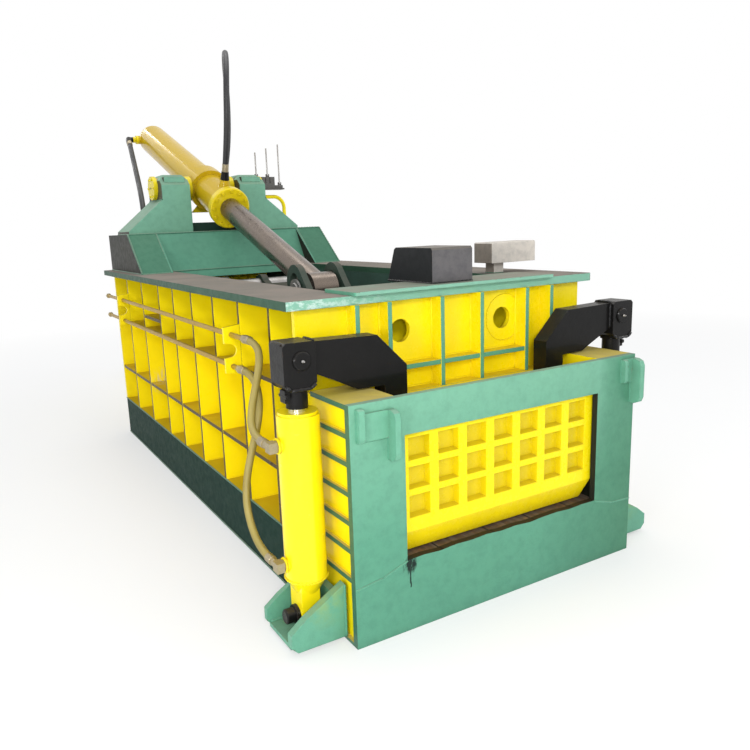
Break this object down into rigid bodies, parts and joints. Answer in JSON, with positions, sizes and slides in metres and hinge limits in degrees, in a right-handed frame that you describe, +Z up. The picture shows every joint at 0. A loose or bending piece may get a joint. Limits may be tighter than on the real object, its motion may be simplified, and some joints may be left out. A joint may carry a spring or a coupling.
{
  "type": "recycling baler",
  "caption": "Hydraulic scrap metal baler: open-topped ribbed press box, sliding front gate on two side cylinders, hinged lid with trunnion cylinder, main ram.",
  "frame": {"origin": "centre of the base frame's footprint between the front plate and the rear wall, on the floor", "axes": "+Z up, -Y towards the gate at the front, +Y towards the main cylinder, +X to the right seen from the front"},
  "size_m": [2, 6.135, 2.947],
  "materials": {
    "mint_paint": "light green gloss paint, dusty on top",
    "dark_paint": "dark green gloss paint",
    "yellow_paint": "bright yellow gloss paint",
    "black_paint": "black semi-gloss paint",
    "grey_paint": "dusty grey paint",
    "worn_steel": "rusty worn steel",
    "bare_steel": "machined steel",
    "hard_chrome": "polished hard chrome",
    "bearing_brass": "machined brass",
    "black_rubber": "black hose cover",
    "brown_rubber": "dusty olive hose cover",
    "line_paint": "dull yellow paint"
  },
  "bodies": {
    "frame": {"base_frame": "dark_paint", "floor_liners": "worn_steel", "side_liners": "worn_steel", "left_side_wall": "yellow_paint", "right_side_wall": "yellow_paint", "front_wall": "yellow_paint", "rear_wall": "yellow_paint", "top_flange": "mint_paint", "front_cap_plate": "mint_paint", "front_plate": "mint_paint", "front_lugs": "mint_paint", "gate_sill": "worn_steel", "gate_housings": "yellow_paint", "gate_guides": "worn_steel", "lift_barrels": "yellow_paint", "lift_glands": "black_paint", "lower_brackets": "mint_paint", "foot_pins": "black_paint", "hood": "mint_paint", "trunnion_posts": "mint_paint", "trunnion_bushings": "bearing_brass", "trunnion_caps": "yellow_paint", "post_tie_plate": "dark_paint", "lid_hinge_shaft": "bare_steel", "hinge_bearings": "yellow_paint", "hinge_bearing_bolts": "bare_steel", "main_cylinder_barrel": "yellow_paint", "main_cylinder_gland": "bare_steel", "main_flange_bolts": "bare_steel", "pressure_lines": "line_paint", "line_brackets": "yellow_paint", "line_fittings": "bare_steel", "upper_lift_hose": "brown_rubber", "lower_lift_hose": "brown_rubber", "hood_fittings": "bare_steel", "tail_hose": "black_rubber", "head_hose": "black_rubber", "valve_bracket": "grey_paint", "valve_block": "grey_paint", "return_pipe": "yellow_paint", "stop_block": "black_paint", "sensor_box": "grey_paint"},
    "gate_carriage": {"gate": "yellow_paint", "left_arm": "black_paint", "right_arm": "black_paint", "arm_pins": "black_paint", "lift_rods": "hard_chrome", "rod_ends": "black_paint"},
    "lid": {"lid": "yellow_paint"},
    "lid_cylinder": {"lid_cylinder_barrel": "yellow_paint", "lid_cylinder_head": "yellow_paint", "lid_hose_fittings": "black_paint"},
    "lid_rod": {"lid_cylinder_rod": "hard_chrome", "lid_rod_pin": "bare_steel"},
    "ram": {"ram_body": "worn_steel", "ram_shoes": "bearing_brass", "main_cylinder_rod": "hard_chrome"},
    "lever_1": {"valve_lever_1": "bare_steel"},
    "lever_2": {"valve_lever_2": "bare_steel"},
    "lever_3": {"valve_lever_3": "bare_steel"}
  },
  "joints": [
    {"name": "gate_lift", "type": "slide", "parent": "frame", "child": "gate_carriage", "axis": [0, 0, 1], "range_m": [0, 0.5]},
    {"name": "lid_hinge", "type": "hinge", "parent": "frame", "child": "lid", "pos_m": [0, 1.056, 1.17], "axis": [-1, 0, 0], "range_deg": [0, 60]},
    {"name": "cylinder_trunnion", "type": "hinge", "parent": "frame", "child": "lid_cylinder", "pos_m": [0, 1.716, 1.935], "axis": [-1, 0, 0], "range_deg": [0, 35.4], "deforming": ["head_hose", "tail_hose"]},
    {"name": "lid_rod_slide", "type": "slide", "parent": "lid_cylinder", "child": "lid_rod", "axis": [0, 0.9373, 0.3487], "range_m": [0, 0.754]},
    {"name": "ram_slide", "type": "slide", "parent": "frame", "child": "ram", "axis": [0, -1, 0], "range_m": [0, 2.2]},
    {"name": "lever_1_tilt", "type": "hinge", "parent": "frame", "child": "lever_1", "pos_m": [0.534, 1.954, 2.051], "axis": [1, 0, 0], "range_deg": [-14, 14]},
    {"name": "lever_2_tilt", "type": "hinge", "parent": "frame", "child": "lever_2", "pos_m": [0.639, 1.954, 2.051], "axis": [1, 0, 0], "range_deg": [-14, 14]},
    {"name": "lever_3_tilt", "type": "hinge", "parent": "frame", "child": "lever_3", "pos_m": [0.751, 1.954, 1.981], "axis": [1, 0, 0], "range_deg": [-14, 14]}
  ],
  "couplings": [
    {"joint": "cylinder_trunnion", "follows": "lid_hinge", "ratio": 0.59},
    {"joint": "lid_rod_slide", "follows": "lid_hinge", "m_per_rad": 0.72}
  ]
}
